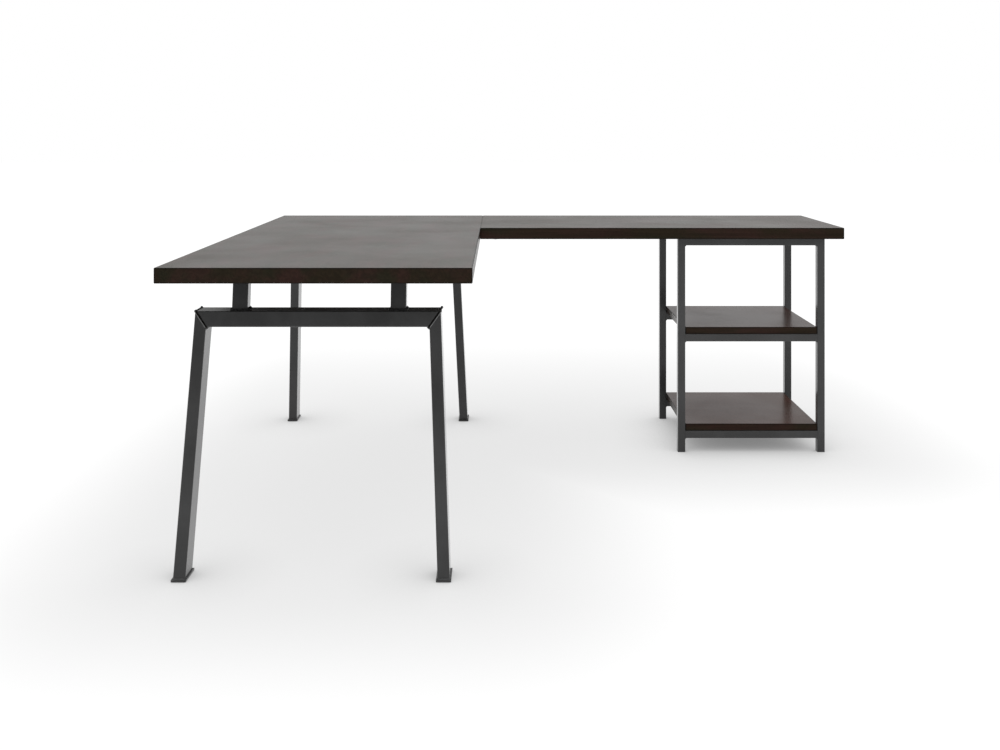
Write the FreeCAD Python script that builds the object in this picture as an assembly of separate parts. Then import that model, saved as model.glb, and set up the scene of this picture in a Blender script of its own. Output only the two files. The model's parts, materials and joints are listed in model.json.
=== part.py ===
import FreeCAD, Part
import math
import os

# Corner desk: a long main top with a shorter return top butted against its rear right edge.
# The main top stands on two welded end frames whose legs splay sideways and lean outward, and
# the return stands on an open shelf unit made of two welded ladder frames and two boards.
# Millimetres. +Z is up, -Y is the free front end of the main top, +X is the end of the return.
# The origin is on the floor, in the middle of the overall footprint.

os.makedirs("parts", exist_ok=True)
Vector = FreeCAD.Vector

# tops
desk_height = 762.0
main_length = 1524.0
main_width = 762.0
return_length = 1219.0
return_depth = 508.0
top_thickness = 38.0
top_edge_radius = 2.5

# end frames
lean_angle = 8.45           # legs, rail faces and stubs lean outward to the end of the desk
splay_angle = 2.445         # legs also splay sideways
frame_inset = 28.3          # outer face of a leg at the floor, in from the end of the main top
frame_side_inset = 73.3     # end of a rail, in from the side of the main top
frame_offset = -9.3         # both frames sit this far off the middle, away from the return
frame_depth = 62.5          # level depth of rail and legs
rail_drop = 87.0            # top of the rail below the underside of the main top
rail_height = 39.0
leg_width = 30.0
frame_wall = 2.0
frame_corner = 3.0
stub_width = 39.5
stub_depth = 34.5
stub_inset = 108.0          # middle of a stub, in from the end of the rail
stub_plate_margin = 25.0    # mounting plate past each side of the stub
stub_plate_thickness = 4.0
foot_margin_side = 3.5      # foot plate past the leg
foot_margin_end = 6.0
foot_plate_thickness = 4.0
plate_corner = 2.0
foot_pad_thickness = 1.5
foot_pad_inset = 3.0

# shelf unit
unit_width = 497.0
unit_inset = 36.6           # front and back faces of the unit, in from the edges of the return
unit_end_inset = 54.3       # right side of the unit, in from the end of the return
post_size = 25.0
post_wall = 1.5
post_corner = 2.0
plug_flange = 1.5
plug_length = 18.0
plug_gap = 0.1
shelf_thickness = 24.0
upper_shelf_top = 423.0
lower_shelf_top = 96.0
shelf_side_gap = 0.5
shelf_front_setback = 0.5
shelf_back_setback = 6.0
shelf_edge_radius = 2.0

# plates that join the two tops
joining_plate_length = 130.0
joining_plate_width = 60.0
joining_plate_thickness = 4.0
joining_plate_edge = 80.0   # middle of a plate, in from the front and back edges of the return
joining_hole_inset = 15.0

# machine screws with threaded inserts, wood screws for the shelves
machine_shank = 6.0
machine_reach = 16.0        # shank above the plate or wall that it holds
machine_head = 10.5
machine_head_height = 3.3
machine_socket = 4.0
insert_diameter = 9.0
insert_length = 15.0
insert_tip_room = 5.0       # hole past the insert
wood_shank = 4.0
wood_reach = 17.0
wood_head = 8.0
wood_head_height = 2.6
wood_socket = 2.5
head_rounding = 0.6         # of a screw head's height
socket_depth = 0.6          # of a screw head's height
tip_length = 0.3            # of a shank's diameter
tip_width = 0.5             # of a shank's diameter
screw_hole_gap = 0.6        # clearance hole over shank
driver_hole = 12.0          # access hole in the lower wall of a rail
rail_screw_end = 60.0       # end screws of a unit rail, in from the inner face of the post
shelf_screw_edge = 10.0     # screw in from the back edge of a shelf
cutter_margin = 1.0         # a drill's cutter runs this far past the face it opens

lean = math.tan(math.radians(lean_angle))
splay = math.tan(math.radians(splay_angle))
x_left = -(main_width + return_length) / 2
x_seam = x_left + main_width
x_right = x_seam + return_length
y_front = -main_length / 2
y_back = main_length / 2
y_return = y_back - return_depth
underside = desk_height - top_thickness
frame_x = x_left + main_width / 2 + frame_offset
rail_half = main_width / 2 - frame_side_inset
rail_top = underside - rail_drop
leg_foot = foot_pad_thickness + foot_plate_thickness
unit_right = x_right - unit_end_inset
unit_left = unit_right - unit_width
unit_front = y_return + unit_inset
unit_back = y_back - unit_inset
far = 2 * (main_length + return_length)     # longer than anything here
ends = ("front", "rear")
sides = {"left": -1, "right": 1}


def rounded_outline(corners, radius):
    """Closed wire through coplanar corners, each corner rounded by the radius."""
    arcs = []
    for number, corner in enumerate(corners):
        before = (corners[number - 1] - corner).normalize()
        after = (corners[(number + 1) % len(corners)] - corner).normalize()
        half = before.getAngle(after) / 2
        reach = radius / math.tan(half)
        inward = (before + after).normalize()
        middle = corner + inward * (radius / math.sin(half) - radius)
        arcs.append((corner + before * reach, middle, corner + after * reach))
    edges = []
    for number, (start, middle, end) in enumerate(arcs):
        edges.append(Part.Arc(start, middle, end).toShape())
        edges.append(Part.makeLine(end, arcs[(number + 1) % len(arcs)][0]))
    return Part.Wire(edges)


def inset_corners(corners, distance):
    """The same outline moved inward by a distance."""
    moved = []
    for number, corner in enumerate(corners):
        before = (corners[number - 1] - corner).normalize()
        after = (corners[(number + 1) % len(corners)] - corner).normalize()
        moved.append(corner + (before + after) * (distance / math.sin(before.getAngle(after))))
    return moved


def tube(corners, direction, wall, radius):
    """Hollow tube: the outline swept straight along a direction, which may be oblique."""
    outer = Part.Face(rounded_outline(corners, radius)).extrude(direction)
    bore = Part.Face(rounded_outline(inset_corners(corners, wall), radius - wall)).extrude(direction)
    return outer.cut(bore)


def level_corners(x_low, x_high, y_low, y_high, z):
    return [Vector(x_low, y_low, z), Vector(x_high, y_low, z),
            Vector(x_high, y_high, z), Vector(x_low, y_high, z)]


def plate(x_low, x_high, y_low, y_high, z, thickness, radius):
    outline = rounded_outline(level_corners(x_low, x_high, y_low, y_high, z), radius)
    return Part.Face(outline).extrude(Vector(0, 0, thickness))


def board(x_low, x_high, y_low, y_high, z, thickness, radius):
    """Wooden board with every edge eased."""
    block = Part.makeBox(x_high - x_low, y_high - y_low, thickness, Vector(x_low, y_low, z))
    return block.makeFillet(radius, block.Edges)


def half_space(point, outward):
    """Large block on one side of a plane, to cut a mitre with."""
    block = Part.makeBox(far, far, far, Vector(-far / 2, -far / 2, 0))
    block.Placement = FreeCAD.Placement(point, FreeCAD.Rotation(Vector(0, 0, 1), outward))
    return block


def drill(shape, points, diameter, z_low, z_high):
    """Vertical holes at (x, y) points between two heights."""
    for x, y in points:
        shape = shape.cut(Part.makeCylinder(diameter / 2, z_high - z_low, Vector(x, y, z_low)))
    return shape


def leg_outer(z):
    """Distance of a leg's outer face from the middle of its frame at a height."""
    return rail_half + splay * (rail_top - z)


def frame_outer(z):
    """Outward face of the front frame at a height; the rear frame is its mirror image."""
    return y_front + frame_inset + lean * z


def to_rail(side):
    """Normal of a corner's mitre plane, towards the rail."""
    return Vector(-side * rail_height, 0, leg_width - splay * rail_height).normalize()


def mitre_point(side):
    return Vector(frame_x + side * rail_half, 0, rail_top)


def leg(side):
    outer = frame_x + side * leg_outer(leg_foot)
    low, high = sorted((outer, outer - side * leg_width))
    front = frame_outer(leg_foot)
    rise = rail_top - leg_foot
    corners = level_corners(low, high, front, front + frame_depth, leg_foot)
    straight = tube(corners, Vector(-side * splay * rise, lean * rise, rise), frame_wall, frame_corner)
    return straight.cut(half_space(mitre_point(side), to_rail(side)))


def rail():
    bottom = rail_top - rail_height
    start = frame_x - rail_half - rail_height
    corners = [Vector(start, frame_outer(bottom), bottom),
               Vector(start, frame_outer(bottom) + frame_depth, bottom),
               Vector(start, frame_outer(rail_top) + frame_depth, rail_top),
               Vector(start, frame_outer(rail_top), rail_top)]
    length = 2 * (rail_half + rail_height)
    shape = tube(corners, Vector(length, 0, 0), frame_wall, frame_corner)
    for side in sides.values():
        shape = shape.cut(half_space(mitre_point(side), to_rail(side) * -1))
    return shape


def stub_middle(side, z):
    return frame_x + side * (rail_half - stub_inset), frame_outer(z) + frame_depth / 2


def stub(side):
    x, y = stub_middle(side, rail_top)
    rise = underside - stub_plate_thickness - rail_top
    corners = level_corners(x - stub_width / 2, x + stub_width / 2,
                            y - stub_depth / 2, y + stub_depth / 2, rail_top)
    return tube(corners, Vector(0, lean * rise, rise), frame_wall, frame_corner)


def stub_plate_points(side):
    """Screws through a stub's mounting plate, one near each corner."""
    x, y = stub_middle(side, underside - stub_plate_thickness)
    across = (stub_width + stub_plate_margin) / 2
    along = (stub_depth + stub_plate_margin) / 2
    return [(x + i * across, y + j * along) for i in (-1, 1) for j in (-1, 1)]


def stub_plate(side):
    z = underside - stub_plate_thickness
    x, y = stub_middle(side, z)
    half_x = stub_width / 2 + stub_plate_margin
    half_y = stub_depth / 2 + stub_plate_margin
    shape = plate(x - half_x, x + half_x, y - half_y, y + half_y, z, stub_plate_thickness, plate_corner)
    return drill(shape, stub_plate_points(side), machine_shank + screw_hole_gap, z, underside)


def foot_corners(side, inset):
    """Low and high x and y of a foot plate, less an inset."""
    outer = frame_x + side * leg_outer(leg_foot)
    low, high = sorted((outer, outer - side * leg_width))
    front = frame_outer(leg_foot)
    return (low - foot_margin_side + inset, high + foot_margin_side - inset,
            front - foot_margin_end + inset, front + frame_depth + foot_margin_end - inset)


def foot_plate(side):
    return plate(*foot_corners(side, 0), foot_pad_thickness, foot_plate_thickness, plate_corner)


def foot_pad(side):
    return plate(*foot_corners(side, foot_pad_inset), 0, foot_pad_thickness, plate_corner)


def screw(x, y, seat, hold, reach, shank, head, head_height, socket):
    """Upright screw: the head hangs below the seat, and the shank passes what it holds."""
    knob = Part.makeCylinder(head / 2, head_height, Vector(0, 0, -head_height))
    rim = [edge for edge in knob.Edges if edge.Vertexes[0].Z < 0 and edge.Length > head]
    knob = knob.makeFillet(head_height * head_rounding, rim[:1])
    hexagon = [Vector(socket / math.sqrt(3) * math.cos(math.radians(60 * turn)),
                      socket / math.sqrt(3) * math.sin(math.radians(60 * turn)),
                      -head_height) for turn in range(6)]
    outline = Part.makePolygon(hexagon + hexagon[:1])
    key = Part.Face(outline).extrude(Vector(0, 0, head_height * socket_depth))
    length = hold + reach
    tip = shank * tip_length
    body = Part.makeCylinder(shank / 2, length - tip)
    point = Part.makeCone(shank / 2, shank / 2 * tip_width, tip, Vector(0, 0, length - tip))
    shape = knob.cut(key).fuse([body, point]).removeSplitter()
    shape.translate(Vector(x, y, seat))
    return shape


def machine_screw(x, y, seat, hold):
    return screw(x, y, seat, hold, machine_reach, machine_shank, machine_head,
                 machine_head_height, machine_socket)


def wood_screw(x, y, seat, hold):
    return screw(x, y, seat, hold, wood_reach, wood_shank, wood_head, wood_head_height, wood_socket)


def inserts(points):
    made = []
    for x, y in points:
        sleeve = Part.makeCylinder(insert_diameter / 2, insert_length, Vector(x, y, underside))
        made.append(drill(sleeve, [(x, y)], machine_shank, underside, underside + insert_length))
    return made


def drill_for_inserts(shape, points):
    shape = drill(shape, points, insert_diameter, underside - cutter_margin, underside + insert_length)
    deep = underside + insert_length + insert_tip_room
    return drill(shape, points, machine_shank + screw_hole_gap, underside, deep)


def mirrored(shape):
    """Rear piece from a front one."""
    return shape.mirror(Vector(0, 0, 0), Vector(0, 1, 0))


def frame_points(end):
    """All mounting screws of one end frame."""
    turn = -1 if end == "rear" else 1
    return [(x, turn * y) for side in sides.values() for x, y in stub_plate_points(side)]


def joining_points(y, half):
    """Screws of one joining plate: half -1 lies under the main top, 1 under the return."""
    outer = joining_plate_length / 2 - joining_hole_inset
    across = joining_plate_width / 2 - joining_hole_inset
    return [(x_seam + half * outer, y - across), (x_seam + half * outer, y + across)]


def joining_middle(end):
    return y_return + joining_plate_edge if end == "front" else y_back - joining_plate_edge


def joining_plate(end):
    y = joining_middle(end)
    z = underside - joining_plate_thickness
    shape = plate(x_seam - joining_plate_length / 2, x_seam + joining_plate_length / 2,
                  y - joining_plate_width / 2, y + joining_plate_width / 2,
                  z, joining_plate_thickness, plate_corner)
    for half in (-1, 1):
        shape = drill(shape, joining_points(y, half), machine_shank + screw_hole_gap, z, underside)
    return shape


def rail_screw_xs():
    """Three screws along a rail of the shelf unit."""
    low = unit_left + post_size + rail_screw_end
    high = unit_right - post_size - rail_screw_end
    return [low, (low + high) / 2, high]


def ladder_y(end):
    """Front face of one ladder frame."""
    return unit_front if end == "front" else unit_back - post_size


def top_rail_points(end):
    return [(x, ladder_y(end) + post_size / 2) for x in rail_screw_xs()]


def shelf_points(end):
    if end == "front":
        y = ladder_y(end) + post_size / 2
    else:
        y = unit_back - shelf_back_setback - shelf_screw_edge
    return [(x, y) for x in rail_screw_xs()]


def unit_mitre(side):
    """Corner point and normal, towards the rail, of a ladder frame's mitre."""
    corner = Vector(unit_right if side > 0 else unit_left, 0, underside)
    return corner, Vector(-side, 0, 1).normalize()


def post(end, side):
    low = unit_right - post_size if side > 0 else unit_left
    corners = level_corners(low, low + post_size, ladder_y(end), ladder_y(end) + post_size, plug_flange)
    straight = tube(corners, Vector(0, 0, underside - plug_flange), post_wall, post_corner)
    point, normal = unit_mitre(side)
    return straight.cut(half_space(point, normal))


def unit_rail(end, x_low, x_high, z_top, points, shank):
    """Level rail with clearance holes above and driver holes below."""
    y = ladder_y(end)
    z = z_top - post_size
    corners = [Vector(x_low, y, z), Vector(x_low, y + post_size, z),
               Vector(x_low, y + post_size, z_top), Vector(x_low, y, z_top)]
    shape = tube(corners, Vector(x_high - x_low, 0, 0), post_wall, post_corner)
    cut = post_wall + cutter_margin
    shape = drill(shape, points, shank + screw_hole_gap, z_top - cut, z_top + cutter_margin)
    return drill(shape, points, driver_hole, z - cutter_margin, z + cut)


def top_rail(end):
    shape = unit_rail(end, unit_left, unit_right, underside, top_rail_points(end), machine_shank)
    for side in sides.values():
        point, normal = unit_mitre(side)
        shape = shape.cut(half_space(point, normal * -1))
    return shape


def shelf_rail(end, shelf_top):
    return unit_rail(end, unit_left + post_size, unit_right - post_size, shelf_top - shelf_thickness,
                     shelf_points(end), wood_shank)


def shelf(shelf_top):
    low = shelf_top - shelf_thickness
    shape = board(unit_left + post_size + shelf_side_gap, unit_right - post_size - shelf_side_gap,
                  unit_front + shelf_front_setback, unit_back - shelf_back_setback,
                  low, shelf_thickness, shelf_edge_radius)
    points = shelf_points("front") + shelf_points("rear")
    return drill(shape, points, wood_shank, low - cutter_margin, low + wood_reach)


def shelf_screws(shelf_top):
    seat = shelf_top - shelf_thickness - post_wall
    points = shelf_points("front") + shelf_points("rear")
    return [wood_screw(x, y, seat, post_wall) for x, y in points]


def post_plug(end, side):
    """Plastic plug: a flange under the post and a body inside it."""
    low = unit_right - post_size if side > 0 else unit_left
    y = ladder_y(end)
    grip = post_wall + plug_gap
    flange = plate(low, low + post_size, y, y + post_size, 0, plug_flange, post_corner)
    body = plate(low + grip, low + post_size - grip, y + grip, y + post_size - grip,
                 plug_flange, plug_length, post_corner - post_wall)
    return flange.fuse(body).removeSplitter()


def main_top():
    shape = board(x_left, x_seam, y_front, y_back, underside, top_thickness, top_edge_radius)
    return drill_for_inserts(shape, main_insert_points())


def return_top():
    shape = board(x_seam, x_right, y_return, y_back, underside, top_thickness, top_edge_radius)
    return drill_for_inserts(shape, return_insert_points())


def main_insert_points():
    points = frame_points("front") + frame_points("rear")
    for end in ends:
        points += joining_points(joining_middle(end), -1)
    return points


def return_insert_points():
    points = top_rail_points("front") + top_rail_points("rear")
    for end in ends:
        points += joining_points(joining_middle(end), 1)
    return points


def joining_screws():
    seat = underside - joining_plate_thickness
    return [machine_screw(x, y, seat, joining_plate_thickness)
            for end in ends for half in (-1, 1) for x, y in joining_points(joining_middle(end), half)]


def frame_screws(end):
    seat = underside - stub_plate_thickness
    return [machine_screw(x, y, seat, stub_plate_thickness) for x, y in frame_points(end)]


def unit_screws(end):
    return [machine_screw(x, y, underside - post_wall, post_wall) for x, y in top_rail_points(end)]


def write(name, shape):
    """One file per node; a list becomes a group of separate solids."""
    if isinstance(shape, list):
        shape = Part.makeCompound(shape)
    count = len(shape.Solids)
    print(f"{name}: {count} solid(s), {shape.Volume / 1000:.1f} cm3, valid {shape.isValid()}")
    shape.exportStep(f"parts/{name}.step")


write("main_top", main_top())
write("return_top", return_top())
write("main_top_inserts", inserts(main_insert_points()))
write("return_top_inserts", inserts(return_insert_points()))

for end in ends:
    place = mirrored if end == "rear" else (lambda shape: shape)
    write(f"{end}_rail", place(rail()))
    for name, side in sides.items():
        write(f"{end}_leg_{name}", place(leg(side)))
        write(f"{end}_stub_{name}", place(stub(side)))
        write(f"{end}_stub_plate_{name}", place(stub_plate(side)))
        write(f"{end}_foot_plate_{name}", place(foot_plate(side)))
    write(f"{end}_foot_pads", [place(foot_pad(side)) for side in sides.values()])
    write(f"{end}_frame_screws", frame_screws(end))
    write(f"joining_plate_{end}", joining_plate(end))
write("joining_plate_screws", joining_screws())

for end in ends:
    for name, side in sides.items():
        write(f"unit_{end}_post_{name}", post(end, side))
    write(f"unit_{end}_top_rail", top_rail(end))
    write(f"unit_{end}_upper_rail", shelf_rail(end, upper_shelf_top))
    write(f"unit_{end}_lower_rail", shelf_rail(end, lower_shelf_top))
    write(f"unit_{end}_top_screws", unit_screws(end))
write("unit_post_plugs", [post_plug(end, side) for end in ends for side in sides.values()])
write("upper_shelf", shelf(upper_shelf_top))
write("lower_shelf", shelf(lower_shelf_top))
write("upper_shelf_screws", shelf_screws(upper_shelf_top))
write("lower_shelf_screws", shelf_screws(lower_shelf_top))
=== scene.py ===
import json
import math

import bmesh
import bpy
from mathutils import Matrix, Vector, noise


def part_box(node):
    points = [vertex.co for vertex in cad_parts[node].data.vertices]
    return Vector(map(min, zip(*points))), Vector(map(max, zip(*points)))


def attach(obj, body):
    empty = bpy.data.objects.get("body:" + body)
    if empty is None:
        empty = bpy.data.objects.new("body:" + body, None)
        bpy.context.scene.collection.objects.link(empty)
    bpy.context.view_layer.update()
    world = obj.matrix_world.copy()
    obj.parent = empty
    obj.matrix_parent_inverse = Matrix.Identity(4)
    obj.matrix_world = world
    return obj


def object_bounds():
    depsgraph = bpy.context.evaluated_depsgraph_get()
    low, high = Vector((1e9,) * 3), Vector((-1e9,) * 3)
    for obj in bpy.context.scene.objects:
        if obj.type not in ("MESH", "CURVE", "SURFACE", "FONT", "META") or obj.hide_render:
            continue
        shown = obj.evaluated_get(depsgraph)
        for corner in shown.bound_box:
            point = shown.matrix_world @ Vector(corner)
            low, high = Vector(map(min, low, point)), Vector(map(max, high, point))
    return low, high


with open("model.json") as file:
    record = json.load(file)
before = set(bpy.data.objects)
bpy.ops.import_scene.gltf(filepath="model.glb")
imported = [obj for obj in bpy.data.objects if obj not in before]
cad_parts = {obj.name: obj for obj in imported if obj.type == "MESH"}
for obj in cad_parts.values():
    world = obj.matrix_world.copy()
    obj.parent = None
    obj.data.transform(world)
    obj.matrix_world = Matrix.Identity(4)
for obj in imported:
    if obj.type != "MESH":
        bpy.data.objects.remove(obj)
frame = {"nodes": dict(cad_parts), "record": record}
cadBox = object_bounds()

# Corner desk: two dark wooden tops on two leaning end frames and an open shelf unit.
# The steel and the boards come with the frame. This script gives every board and tube its
# finish, and adds the weld beads. Metres, +Z up, the free end of the main top towards -Y.

up = Vector((0, 0, 1))
mm = 0.001


class Wire:                             # one output socket, with arithmetic
    def __init__(self, finish, socket):
        self.finish = finish
        self.socket = socket

    def maths(self, operation, *values):
        return self.finish.node("Math", {"operation": operation}, dict(enumerate(values)))

    def __add__(self, other):
        return self.maths("ADD", self, other)

    def __radd__(self, other):
        return self.maths("ADD", other, self)

    def __sub__(self, other):
        return self.maths("SUBTRACT", self, other)

    def __rsub__(self, other):
        return self.maths("SUBTRACT", other, self)

    def __mul__(self, other):
        return self.maths("MULTIPLY", self, other)

    def __rmul__(self, other):
        return self.maths("MULTIPLY", other, self)

    def least(self, other):
        return self.maths("MINIMUM", self, other)

    def most(self, other):
        return self.maths("MAXIMUM", self, other)

    def above(self, other):
        return self.maths("GREATER_THAN", self, other)


class Finish:                           # one node tree, filled from the shader end backwards
    def __init__(self, owner):
        self.owner = owner
        owner.use_nodes = True
        self.tree = owner.node_tree
        self.tree.nodes.clear()

    def node(self, kind, settings=None, values=None, output=0):
        made = self.tree.nodes.new("ShaderNode" + kind)
        for key, value in (settings or {}).items():
            setattr(made, key, value)
        for key, value in (values or {}).items():
            if isinstance(value, Wire):
                self.tree.links.new(value.socket, made.inputs[key])
            else:
                made.inputs[key].default_value = value
        return None if output is None else Wire(self, made.outputs[output])

    def place(self, stretch=(1, 1, 1)):
        spot = self.node("TexCoord", output="Object")
        return self.node("VectorMath", {"operation": "MULTIPLY"}, {0: spot, 1: stretch})

    def cloud(self, place, scale, detail=3.0, rough=0.5, twist=0.0):
        return self.node("TexNoise", None, {"Vector": place, "Scale": scale, "Detail": detail,
                                            "Roughness": rough, "Distortion": twist})

    def between(self, value, low, high, start=0.0, end=1.0):
        return self.node("MapRange", {"interpolation_type": "SMOOTHSTEP"},
                         {"Value": value, 1: low, 2: high, 3: start, 4: end})

    def tint(self, factor, first, second, mode="MIX"):
        names = {0: factor}
        for slot, colour in ((6, first), (7, second)):
            names[slot] = colour if isinstance(colour, Wire) else (*colour, 1)
        return self.node("Mix", {"data_type": "RGBA", "blend_type": mode}, names, output=2)

    def grey(self, value):
        return self.node("CombineColor", None, {0: value, 1: value, 2: value})

    def split(self, vector):
        apart = self.node("SeparateXYZ", None, {0: vector}).socket.node
        return [Wire(self, output) for output in apart.outputs]

    def bump(self, height, distance):
        return self.node("Bump", None, {"Height": height, "Distance": distance, "Strength": 1.0})

    def surface(self, **values):
        return self.node("BsdfPrincipled", None, {key.replace("_", " "): values[key] for key in values})

    def show(self, shader, output="OutputMaterial"):
        self.node(output, None, {"Surface": shader}, output=None)
        return self.owner


def newFinish(name):
    return Finish(bpy.data.materials.new(name))


woodLook = {
    "body": (0.040, 0.0280, 0.0150),
    "warm": (0.061, 0.0300, 0.0225),
    "olive": (0.032, 0.0310, 0.0160),
    "red": (0.085, 0.0340, 0.0260),
    "pore": (0.010, 0.0070, 0.0055),
    "backing": (0.022, 0.0215, 0.0210),  # undersides are sealed, not lacquered
    "edge": (0.004, 0.0030, 0.0024),    # painted shade: a dark line along the eased edges
    "sideShade": 0.45,                   # painted shade: every face below the top is darker
    "patch": 0.085,                     # size of the colour patches
    "ring": (0.030, 0.9),               # width and length of the growth bands
    "ringTurns": 38.0,
    "fibre": (0.0022, 0.16),
    "pores": (0.0007, 0.014),
    "smudge": 0.21,                     # hand marks in the lacquer
    "bandShade": 0.26,                  # how much bands and fibres darken the stain
    "fibreShade": 0.6,
    "sideRed": 0.15,                    # share of the red stain that the sides take
    "eased": (0.6 * mm, 2.0 * mm),      # a face's look starts past the eased edge
    "rough": 0.24,
    "ior": 1.30,
    "frontLacquer": 0.15,               # front and back faces of a board are drier
    "flankLacquer": 0.55,               # its left and right faces less so
    "edgeShadeBand": 0.0028,                 # width of the dark line of painted shade along the edges
    "edgeShadeBreaks": 0.018,                   # size of the breaks in it
    "relief": 0.00007,
}

# grain direction, share of red in the stain, how far the lacquer closes the surface, butted side
boards = {
    "main_top": {"grain": "y", "red": 0.0, "lacquer": 0.90, "butts": 1},
    "return_top": {"grain": "x", "red": 0.0, "lacquer": 0.86, "butts": -1},
    "upper_shelf": {"grain": "x", "red": 0.65, "lacquer": 0.97, "butts": 0},
    "lower_shelf": {"grain": "x", "red": 0.66, "lacquer": 0.84, "butts": 0},
}


def boardFinish(node):
    # solid texture, so the end grain shows on the ends of a board
    look = woodLook
    board = boards[node]
    low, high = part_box(node)
    finish = newFinish("wood_" + node)
    along = "xy".index(board["grain"])
    here = finish.split(finish.place())

    def stretch(width, length):
        sizes = [1 / width, 1 / width, 1 / width]
        sizes[along] = 1 / length
        return finish.place(sizes)

    def atFace(distance):
        return finish.between(distance, *look["eased"], 1.0, 0.0)

    patches = finish.cloud(stretch(look["patch"], look["patch"] * 2.8), 1.0, 5.0, 0.6, 0.3)
    greens = finish.cloud(stretch(look["patch"] * 0.7, look["patch"] * 2.2), 1.0, 3.0, 0.5)
    rings = finish.cloud(stretch(*look["ring"]), 1.0, 2.0, 0.5, 0.6)
    bands = finish.node("Math", {"operation": "SINE"}, {0: rings * look["ringTurns"]}) * 0.5 + 0.5
    fibres = finish.cloud(stretch(*look["fibre"]), 1.0, 3.0, 0.6)
    pores = finish.cloud(stretch(*look["pores"]), 1.0, 1.0, 0.5)
    smudges = finish.cloud(finish.place(), 1 / look["smudge"], 3.0, 0.5, 0.3)

    poreMask = finish.between(pores, 0.62, 0.72)
    colour = finish.tint(finish.between(patches, 0.40, 0.66), look["body"], look["warm"])
    colour = finish.tint(finish.between(greens, 0.46, 0.70) * 0.8, colour, look["olive"])
    shadeOfGrain = bands * look["bandShade"] + fibres * look["fibreShade"] + 0.58
    colour = finish.tint(1.0, colour, finish.grey(shadeOfGrain), "MULTIPLY")
    side = finish.between(high.z - here[2], *look["eased"])
    under = atFace(here[2] - low.z)
    colour = finish.tint((1 - side * (1 - look["sideRed"])) * board["red"], colour, look["red"])
    colour = finish.tint(poreMask * 0.7, colour, look["pore"])

    joined = here[1].above(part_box("return_top")[0].y)       # no edge where the two tops meet
    gaps = []
    for axis in range(3):
        before = (here[axis] - low[axis]).most(0.0)
        after = (high[axis] - here[axis]).most(0.0)
        if axis == 0 and board["butts"] > 0:
            after = after + joined
        if axis == 0 and board["butts"] < 0:
            before = before + joined
        gaps.append(before.least(after))
    nearest = gaps[0].least(gaps[1]).least(gaps[2])
    farthest = gaps[0].most(gaps[1]).most(gaps[2])
    fromEdge = gaps[0] + gaps[1] + gaps[2] - nearest - farthest
    # mask for a dark line of painted shade along every edge of the board, broken up by noise
    shadeBreaks = finish.cloud(finish.place(), 1 / look["edgeShadeBreaks"], 4.0, 0.6)
    edge = finish.between(fromEdge + shadeBreaks * look["edgeShadeBand"], look["edgeShadeBand"],
                          look["edgeShadeBand"] * 2.0, 1.0, 0.0)
    # painted shade: the sides, ends and underside of a board darker than its top
    tone = 1 - side * (1 - look["sideShade"])
    colour = finish.tint(1.0, colour, finish.grey(tone), "MULTIPLY")
    # painted shade: the edges darkened
    colour = finish.tint(edge * 0.75, colour, look["edge"])
    colour = finish.tint(under * 0.8, colour, look["backing"])

    rough = smudges * 0.12 + fibres * 0.05 + poreMask * 0.12 + edge * 0.06 + (look["rough"] - 0.09)
    height = fibres * 0.35 + bands * 0.08 - poreMask * 0.8
    normal = finish.bump(height, look["relief"])
    bare = finish.surface(Base_Color=colour, Roughness=rough, Specular_IOR_Level=0.0, Normal=normal)
    glossy = finish.surface(Base_Color=colour, Roughness=rough, IOR=look["ior"], Coat_Weight=1.0,
                            Coat_IOR=look["ior"], Coat_Roughness=look["rough"], Normal=normal)
    closed = (board["lacquer"] + (smudges - 0.5) * 0.6 - poreMask * 0.3) * (1 - under)
    closed = closed * (1 - atFace(gaps[1]) * (1 - look["frontLacquer"]))
    closed = closed * (1 - atFace(gaps[0]) * (1 - look["flankLacquer"]))
    return finish.show(finish.node("MixShader", None, {0: closed, 1: bare, 2: glossy}))


paintLook = {
    "body": (0.034, 0.034, 0.034),
    "faded": (0.047, 0.047, 0.0475),
    "grit": 0.0009,                     # size of the powder coat's texture
    "wave": 0.006,
    "drift": 0.14,                      # size of the faded areas
    "fleck": 0.0022,
    "relief": 0.00004,
    "ior": 1.26,
    "rough": 0.30,
    "coatRough": 0.14,
}

# painted highlight: a much lighter grey paint for the bead along each mitre
paintedHighlightLook = {**paintLook, "body": (0.15, 0.15, 0.15), "faded": (0.20, 0.20, 0.20)}


def paintFinish(name, look):
    finish = newFinish(name)
    grit = finish.cloud(finish.place(), 1 / look["grit"], 2.0, 0.6)
    waves = finish.cloud(finish.place(), 1 / look["wave"], 2.0, 0.5)
    drift = finish.cloud(finish.place(), 1 / look["drift"], 4.0, 0.6, 0.3)
    flecks = finish.between(finish.cloud(finish.place(), 1 / look["fleck"], 1.0, 0.4), 0.66, 0.74)
    colour = finish.tint(finish.between(drift, 0.35, 0.72), look["body"], look["faded"])
    colour = finish.tint(flecks * 0.5, colour, look["faded"])
    rough = drift * 0.12 + grit * 0.08 + (look["rough"] - 0.10)
    return finish.show(finish.surface(Base_Color=colour, Roughness=rough, IOR=look["ior"],
                                      Coat_Weight=1.0, Coat_Roughness=look["coatRough"],
                                      Coat_IOR=look["ior"],
                                      Normal=finish.bump(grit * 0.6 + waves * 0.4, look["relief"])))


# painted shade for the mitre creases: near-black, with paler specks
mitreShadeLook = {
    "deep": (0.004, 0.004, 0.004),
    "paleShade": (0.012, 0.011, 0.010),
    "speck": 0.003,
    "rough": 0.7,
}


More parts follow.
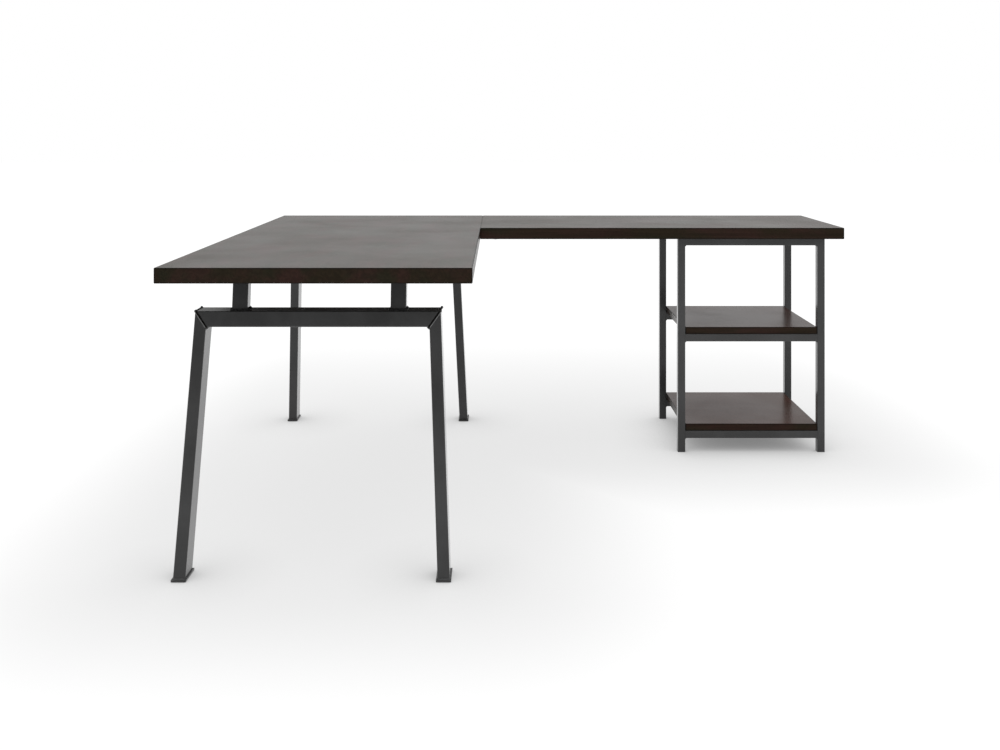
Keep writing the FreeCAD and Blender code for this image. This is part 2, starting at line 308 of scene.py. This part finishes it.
def mitreShadeFinish():
    # painted shade: a near-black strip laid along each mitre for the shade in the joint's crease
    look = mitreShadeLook
    finish = newFinish("painted_mitre_shadow")
    dirtAndShade = finish.cloud(finish.place(), 1 / look["speck"], 3.0, 0.6)
    colour = finish.tint(finish.between(dirtAndShade, 0.40, 0.68), look["deep"], look["paleShade"])
    return finish.show(finish.surface(Base_Color=colour, Roughness=dirtAndShade * 0.2 + look["rough"],
                                      Specular_IOR_Level=0.0, Normal=finish.bump(dirtAndShade, 0.0001)))


def metalFinish(name, colour, stain, rough, metal=1.0):
    # turned or plated small parts: fine turning marks, dull patches
    finish = newFinish(name)
    dull = finish.cloud(finish.place(), 1 / 0.004, 4.0, 0.6)
    marks = finish.cloud(finish.place((1, 1, 12)), 1 / 0.0016, 2.0, 0.5)
    tone = finish.tint(finish.between(dull, 0.42, 0.70), colour, stain)
    rough = dull * 0.22 + marks * 0.08 + (rough - 0.12)
    return finish.show(finish.surface(Base_Color=tone, Metallic=metal, Roughness=rough,
                                      Normal=finish.bump(marks, 0.00003)))


def mouldedFinish(name, colour, dust, rough, pimple):
    # plastic and rubber: fine moulded texture with dust in it
    finish = newFinish(name)
    skin = finish.node("TexVoronoi", {"feature": "SMOOTH_F1"},
                       {"Vector": finish.place(), "Scale": 1 / pimple, "Smoothness": 0.6})
    dirtAndShade = finish.cloud(finish.place(), 1 / 0.012, 4.0, 0.6)
    tone = finish.tint(finish.between(dirtAndShade, 0.5, 0.75) * 0.5, colour, dust)
    return finish.show(finish.surface(Base_Color=tone, Roughness=dirtAndShade * 0.16 + (rough - 0.08),
                                      Normal=finish.bump(skin, pimple * 0.1)))


paintedMitreShade = mitreShadeFinish()
paintedHighlightPaint = paintFinish("powder_coat_painted_highlight", paintedHighlightLook)
slotFinish = {
    "frame_paint": paintFinish("charcoal_powder_coat", paintLook),
    "zinc_steel": metalFinish("zinc_plate", (0.50, 0.50, 0.51), (0.36, 0.36, 0.37), 0.34),
    "black_steel": metalFinish("black_oxide", (0.030, 0.030, 0.032), (0.045, 0.042, 0.040), 0.48, 0.6),
    "insert_brass": metalFinish("turned_brass", (0.60, 0.44, 0.20), (0.42, 0.29, 0.13), 0.36),
    "black_plastic": mouldedFinish("black_plastic", (0.020, 0.020, 0.021), (0.05, 0.05, 0.05),
                                   0.50, 0.0009),
    "pad_rubber": mouldedFinish("pad_rubber", (0.025, 0.025, 0.025), (0.07, 0.07, 0.068),
                                0.72, 0.0014),
}

for entry in frame["record"]["subparts"]:
    node = entry["node"]
    mesh = frame["nodes"][node].data
    mesh.materials.clear()
    if node in boards:
        mesh.materials.append(boardFinish(node))
    else:
        mesh.materials.append(slotFinish[entry["material_slot"]])
print("finishes:", len(bpy.data.materials))


def newPiece(name, mesh, slotName, finish=None):
    data = bpy.data.meshes.new(name)
    mesh.normal_update()
    mesh.to_mesh(data)
    mesh.free()
    data.polygons.foreach_set("use_smooth", [True] * len(data.polygons))
    piece = bpy.data.objects.new(name, data)
    bpy.context.scene.collection.objects.link(piece)
    data.materials.append(finish or slotFinish[slotName])
    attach(piece, "root")
    return piece


def rope(points, closed, step):
    # the same path with evenly spaced stations
    corners = list(points) + ([points[0]] if closed else [])
    spaced = []
    for start, end in zip(corners, corners[1:]):
        count = max(1, round((end[0] - start[0]).length / step))
        for number in range(count):
            share = number / count
            spaced.append([a.lerp(b, share) for a, b in zip(start, end)])
    if not closed:
        spaced.append(list(corners[-1]))
    return spaced


def ripple(distance, look, seed):
    # overlapping dimes along a bead, no two alike
    beat = distance / look["pitch"]
    dime = abs(math.sin(math.pi * (beat + 0.35 * noise.noise(Vector((beat * 0.4, seed, 0))))))
    lump = noise.noise(Vector((distance / look["lump"], seed, 7.3)))
    return 1 + look["dimes"] * (dime - 0.6) + look["lumps"] * lump


def bead(mesh, path, closed, look, seed, profile):
    # sweeps a weld's section along a path of (point, out, up) stations
    stations = rope(path, closed, look["pitch"] / 5)
    rings = []
    distance = 0
    before = None
    for number, (point, out, rise) in enumerate(stations):
        if before is not None:
            distance += (point - before).length
        before = point
        size = look["size"] * ripple(distance, look, seed)
        if not closed:
            fromEnd = min(number, len(stations) - 1 - number) / 6
            blob = look.get("blob", 0) * math.exp(-fromEnd / 1.5)
            size *= math.sqrt(min(1, 0.12 + fromEnd)) * (1 + blob)
        ring = [mesh.verts.new(point + out * a * size + rise * b * size) for a, b in profile]
        rings.append(ring)
    pairs = list(zip(rings, rings[1:]))
    if closed:
        pairs.append((rings[-1], rings[0]))
    count = len(profile)
    for first, second in pairs:
        for number in range(count):
            other = (number + 1) % count
            mesh.faces.new((first[number], first[other], second[other], second[number]))
    if not closed:
        mesh.faces.new(list(reversed(rings[0])))
        mesh.faces.new(rings[-1])


def filletProfile(bulge, steps=8, sunk=0.18):
    # from the foot on one face, over a slightly domed surface, to the foot on the other
    outline = []
    for number in range(steps + 1):
        angle = math.pi / 2 * number / steps
        dome = 1 - bulge * math.sin(2 * angle)
        outline.append((math.cos(angle) ** 1.5 * dome + bulge * math.sin(2 * angle) * 0.7,
                        math.sin(angle) ** 1.5 * dome + bulge * math.sin(2 * angle) * 0.7))
    outline.append((-sunk, 1.0))
    outline.append((-sunk, -sunk))
    outline.append((1.0, -sunk))
    return outline


def roundProfile(width, height, steps=12):
    return [(width * math.cos(2 * math.pi * n / steps), height * math.sin(2 * math.pi * n / steps))
            for n in range(steps)]


tubeCorner = 3 * mm
postCorner = 2 * mm


def readFrame(end):
    # an end frame's slopes and sizes from its boxes
    turn = 1 if end == "front" else -1
    railLow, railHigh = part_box(f"{end}_rail")
    legLow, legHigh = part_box(f"{end}_leg_right")
    stubLow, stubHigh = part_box(f"{end}_stub_right")
    rise = {"leg": legHigh.z - legLow.z, "rail": railHigh.z - railLow.z, "stub": stubHigh.z - stubLow.z}
    lean = ((legHigh.y - legLow.y) - (railHigh.y - railLow.y)) / (rise["leg"] - rise["rail"])
    splay = (legHigh.x - railHigh.x) / (railHigh.z - legLow.z)
    eased = tubeCorner * (lean + math.hypot(1, lean) - 1)       # lost from the box at a rounded corner
    depth = railHigh.y - railLow.y - lean * rise["rail"] + 2 * eased
    outerFace = (railLow.y if turn > 0 else -railHigh.y) - eased
    middle = (railLow.x + railHigh.x) / 2
    return {
        "turn": turn, "middle": middle, "half": railHigh.x - middle, "lean": lean, "splay": splay,
        "depth": depth, "top": railHigh.z, "bottom": railLow.z, "floor": legLow.z,
        "outer": outerFace,
        "legWidth": railHigh.x + splay * rise["rail"] - legLow.x,
        "stubX": (stubHigh.x + stubLow.x) / 2 - middle,
        "stubWidth": stubHigh.x - stubLow.x,
        "stubDepth": stubHigh.y - stubLow.y - lean * rise["stub"],
        "stubTop": stubHigh.z,
    }


def framePoint(shape, side, x, depth, z):
    # x from the frame's middle towards a side, depth in from the outward face at height z
    y = shape["outer"] + shape["lean"] * (z - shape["bottom"]) + depth
    return Vector((shape["middle"] + side * x, shape["turn"] * y, z))


def frameWay(shape, side, x, y, z):
    return Vector((side * x, shape["turn"] * y, z)).normalized()


# a bead's size, length of a ripple and of a swelling, and how strong each is
cornerWeld = {"size": 2.1 * mm, "pitch": 2.3 * mm, "lump": 9 * mm, "dimes": 0.16, "lumps": 0.22,
              "blob": 1.3}
mitreWeld = {"name": "mitre_weld_highlights", "size": 1.0 * mm, "pitch": 2.6 * mm, "lump": 12 * mm, "dimes": 0.12,
             "lumps": 0.30, "aside": 1.6 * mm, "past": 0.0, "proud": 0.7}
mitreShadeStrip = {"name": "painted_mitre_shadows", "size": 2.3 * mm, "pitch": 3.2 * mm, "lump": 9 * mm, "dimes": 0.05,
            "lumps": 0.30, "aside": -1.6 * mm, "past": 2.5 * mm, "proud": 0.12}
innerWeld = {"size": 6.5 * mm, "pitch": 2.6 * mm, "lump": 14 * mm, "dimes": 0.08, "lumps": 0.14}
stubWeld = {"size": 5.2 * mm, "pitch": 3.2 * mm, "lump": 7 * mm, "dimes": 0.18, "lumps": 0.40}
footWeld = {"size": 3.0 * mm, "pitch": 2.4 * mm, "lump": 9 * mm, "dimes": 0.12, "lumps": 0.20}
unitWeld = {"size": 4.2 * mm, "pitch": 2.4 * mm, "lump": 9 * mm, "dimes": 0.06, "lumps": 0.12}
seamLine = {"size": 0.8 * mm, "pitch": 2.4 * mm, "lump": 10 * mm, "dimes": 0.10, "lumps": 0.20}


def mitreEnds(shape, side, depth):
    inner = shape["half"] - shape["legWidth"] + shape["splay"] * (shape["top"] - shape["bottom"])
    return (framePoint(shape, side, shape["half"] - 1 * mm, depth, shape["top"] - 1 * mm),
            framePoint(shape, side, inner, depth, shape["bottom"]))


def railward(way, ends):
    # across the mitre, from the leg towards the rail
    across = way.cross(ends[1] - ends[0]).normalized()
    return across if across.z > 0 else -across


def mitreLines(end, look, finish):
    # down both faces of a mitre: a near-black strip of painted shade on the crease, or the bead along
    # the leg's side of it, whose lighter paint is a painted highlight
    shape = readFrame(end)
    mesh = bmesh.new()
    for side in (-1, 1):
        for depth, face in ((0, -1), (shape["depth"], 1)):
            way = frameWay(shape, side, 0, face, -face * shape["lean"])
            start, stop = mitreEnds(shape, side, depth)
            stop = stop + (stop - start).normalized() * look["past"]
            across = railward(way, (start, stop))
            aside = across * look["aside"]
            bead(mesh, [(point - aside, across, way) for point in (start, stop)], False, look,
                 side * 4 + shape["turn"] + face, roundProfile(1.0, look["proud"]))
    return newPiece(f"{end}_{look['name']}", mesh, "frame_paint", finish)


def cornerWelds(end):
    # over each mitred corner: a proud bead on top, a fillet inside
    shape = readFrame(end)
    mesh = bmesh.new()
    for side in (-1, 1):
        seed = side * 3 + shape["turn"] * 11
        inner = shape["half"] - shape["legWidth"] + shape["splay"] * (shape["top"] - shape["bottom"])
        out = frameWay(shape, side, 1, 0, 0)
        edge, height = shape["half"] - 0.3 * mm, shape["top"] - 0.3 * mm
        path = [(framePoint(shape, side, edge, depth, height), out, up)
                for depth in (0.6 * mm, shape["depth"] - 0.6 * mm)]
        bead(mesh, path, False, cornerWeld, seed, roundProfile(0.85, 1.0))
        inward = frameWay(shape, side, -1, 0, 0)
        path = [(framePoint(shape, side, inner, depth, shape["bottom"]), inward, -up)
                for depth in (2 * mm, shape["depth"] - 2 * mm)]
        bead(mesh, path, False, innerWeld, seed + 5, filletProfile(0.26))
    return newPiece(f"{end}_corner_welds", mesh, "frame_paint")


def ringPath(middle, halfX, halfY, radius, rise):
    # rounded rectangle of stations, each facing out
    path = []
    for turn in range(4):
        centre = Vector(((halfX - radius) * (1 if turn in (0, 3) else -1),
                         (halfY - radius) * (1 if turn < 2 else -1), 0))
        for step in range(7):
            angle = math.pi / 2 * (turn + step / 6)
            out = Vector((math.cos(angle), math.sin(angle), 0))
            path.append((middle + centre + out * radius, out, rise))
    return path


def footWelds(end):
    shape = readFrame(end)
    mesh = bmesh.new()
    for side in (-1, 1):
        outer = shape["half"] + shape["splay"] * (shape["top"] - shape["floor"])
        centre = outer - shape["legWidth"] / 2
        middle = framePoint(shape, side, centre, shape["depth"] / 2, shape["floor"])
        rise = frameWay(shape, side, -shape["splay"], shape["lean"], 1)
        path = ringPath(middle, shape["legWidth"] / 2, shape["depth"] / 2, tubeCorner, rise)
        bead(mesh, path, True, footWeld, side * 2 + shape["turn"], filletProfile(0.06))
    return newPiece(f"{end}_foot_welds", mesh, "frame_paint")


def stubWelds(end):
    # round the foot of each stub, and round its head under the mounting plate
    shape = readFrame(end)
    mesh = bmesh.new()
    for side in (-1, 1):
        for level, way, look in ((shape["top"], 1, stubWeld), (shape["stubTop"], -1, footWeld)):
            middle = framePoint(shape, side, shape["stubX"], shape["depth"] / 2, level)
            rise = frameWay(shape, side, 0, shape["lean"], 1) * way
            path = ringPath(middle, shape["stubWidth"] / 2, shape["stubDepth"] / 2, tubeCorner, rise)
            bead(mesh, path, True, look, side * 5 + shape["turn"] * 2 + way, filletProfile(0.08))
    return newPiece(f"{end}_stub_welds", mesh, "frame_paint")


def unitWelds(end):
    # fillets under every rail of a ladder frame, and a line on each joint's faces
    mesh = bmesh.new()
    leftLow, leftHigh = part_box(f"unit_{end}_post_left")
    rightLow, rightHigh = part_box(f"unit_{end}_post_right")
    for place in ("top", "upper", "lower"):
        low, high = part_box(f"unit_{end}_{place}_rail")
        for x, side in ((leftHigh.x, 1), (rightLow.x, -1)):
            seed = side + high.z * 10 + (3 if end == "front" else 0)
            inward = Vector((side, 0, 0))
            path = [(Vector((x, y, low.z)), inward, -up)
                    for y in (leftLow.y + postCorner * 0.6, leftHigh.y - postCorner * 0.6)]
            bead(mesh, path, False, unitWeld, seed, filletProfile(0.0))
            for y, face in ((leftLow.y, -1), (leftHigh.y, 1)):
                way = Vector((0, face, 0))
                if place == "top":
                    reach = x - (leftHigh.x - leftLow.x) * side
                    ends = (Vector((reach + side * mm, y, high.z - mm)), Vector((x, y, low.z)))
                else:
                    ends = (Vector((x, y, high.z - mm)), Vector((x, y, low.z)))
                across = way.cross(ends[1] - ends[0]).normalized()
                bead(mesh, [(point, across, way) for point in ends], False, seamLine, seed + face,
                     roundProfile(0.9, 0.35))
    return newPiece(f"unit_{end}_welds", mesh, "frame_paint")


for end in ("front", "rear"):
    pieces = [make(end) for make in (cornerWelds, stubWelds, footWelds, unitWelds)]
    # a near-black strip of painted shade along each mitre
    pieces.append(mitreLines(end, mitreShadeStrip, paintedMitreShade))
    # the bead along each mitre, in the lighter paint that is a painted highlight
    pieces.append(mitreLines(end, mitreWeld, paintedHighlightPaint))
    for piece in pieces:
        print(piece.name, len(piece.data.polygons), "faces")


studio = {
    "floorSize": 60.0,
    "floorColour": (0.17, 0.17, 0.17),
    "nearGlow": 0.69,                   # white floor lit through from below, for soft shadows; dimmer near the desk, a painted shadow
    "farGlow": 0.86,
    "glowFade": (0.05, 0.75),           # distance from the tops over which the painted shadow fades out
    "glowBack": 0.35,                   # and how much slower behind the desk
    "nook": 0.24,                       # how near a piece must be for painted shade to dim that glow
    "nookShade": 0.75,
    "background": 1.0,                  # what the camera sees beyond the floor
    "walls": 0.36,                      # pale walls at the back and sides
    "ceiling": 1.50,
    "wallTop": (0.30, 0.62),            # sine of the height where walls fade into ceiling
    "front": (0.26, 1.05),              # open side behind the camera, from low to high
    "frontTop": (0.15, 0.55),
    "frontEdge": (-0.80, -0.30),
    "sideLight": 0.10,                  # added towards the right
}


def makeFloor():
    size = studio["floorSize"] / 2
    mesh = bmesh.new()
    bmesh.ops.create_grid(mesh, x_segments=8, y_segments=8, size=size)
    data = bpy.data.meshes.new("floor")
    mesh.to_mesh(data)
    mesh.free()
    floor = bpy.data.objects.new("floor", data)
    floor.location.z = cadBox[0].z
    bpy.context.scene.collection.objects.link(floor)
    finish = newFinish("pale_floor")
    x, y, z = finish.split(finish.place())

    def beyond(node):
        low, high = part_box(node)
        sideways = (low.x - x).most(x - high.x).most(0.0)
        lengthways = (low.y - y).most((y - high.y) * studio["glowBack"]).most(0.0)
        squares = sideways * sideways + lengthways * lengthways
        return finish.node("Math", {"operation": "SQRT"}, {0: squares})

    away = beyond("main_top").least(beyond("return_top"))
    # painted shadow: the floor's glow is dimmer near the tops
    glow = finish.between(away, *studio["glowFade"], studio["nearGlow"], studio["farGlow"])
    # painted shade: an ambient occlusion mask dims the floor's glow in nooks and under low parts
    nook = finish.node("AmbientOcclusion", {"samples": 8}, {"Distance": studio["nook"]}, output="AO")
    glow = glow * (1 - (1 - nook) * studio["nookShade"])
    sheet = finish.surface(Base_Color=(*studio["floorColour"], 1), Roughness=0.9,
                           Specular_IOR_Level=0.1, Emission_Color=finish.grey(glow),
                           Emission_Strength=1.0)
    below = finish.node("NewGeometry", output="Backfacing")  # clear from below, for the underside
    clear = finish.node("BsdfTransparent")
    data.materials.append(finish.show(finish.node("MixShader", None, {0: below, 1: sheet, 2: clear})))


def makeLight():
    sky = bpy.data.worlds.new("studio")
    bpy.context.scene.world = sky
    finish = Finish(sky)
    way = finish.node("TexCoord", output="Generated")
    x, y, z = finish.split(way)
    lowness = finish.between(z, *studio["wallTop"], 1.0, 0.0)
    openSide = finish.between(y, *studio["frontEdge"])
    glow = lowness * (studio["walls"] - studio["ceiling"]) + studio["ceiling"] + x * studio["sideLight"]
    front = finish.between(z, *studio["frontTop"], *studio["front"])
    glow = openSide * (glow - front) + front
    seen = finish.node("LightPath", output="Is Camera Ray")
    strength = seen * studio["background"] + (1 - seen) * glow
    light = finish.node("Background", None, {"Color": (1, 1, 1, 1), "Strength": strength})
    finish.show(light, "OutputWorld")
    bpy.context.scene.view_settings.view_transform = "Standard"


view = {
    "fromLeft": 0.8273,                 # camera, in from the left side of the desk
    "back": 2.5224,                     # camera, out from the front edge
    "height": 1.094,
    "lens": 38.045,
    "shiftX": 0.0001,
    "shiftY": -0.2463,
}


def makeCamera():
    data = bpy.data.cameras.new("camera")
    data.lens = view["lens"]
    data.sensor_width = 36.0
    data.shift_x = view["shiftX"]
    data.shift_y = view["shiftY"]
    data.clip_end = 200
    camera = bpy.data.objects.new("camera", data)
    low = cadBox[0]
    camera.location = (low.x + view["fromLeft"], low.y - view["back"], low.z + view["height"])
    camera.rotation_euler = (math.pi / 2, 0, 0)
    bpy.context.scene.collection.objects.link(camera)
    bpy.context.scene.camera = camera


makeFloor()
makeLight()
makeCamera()
print("studio ready")
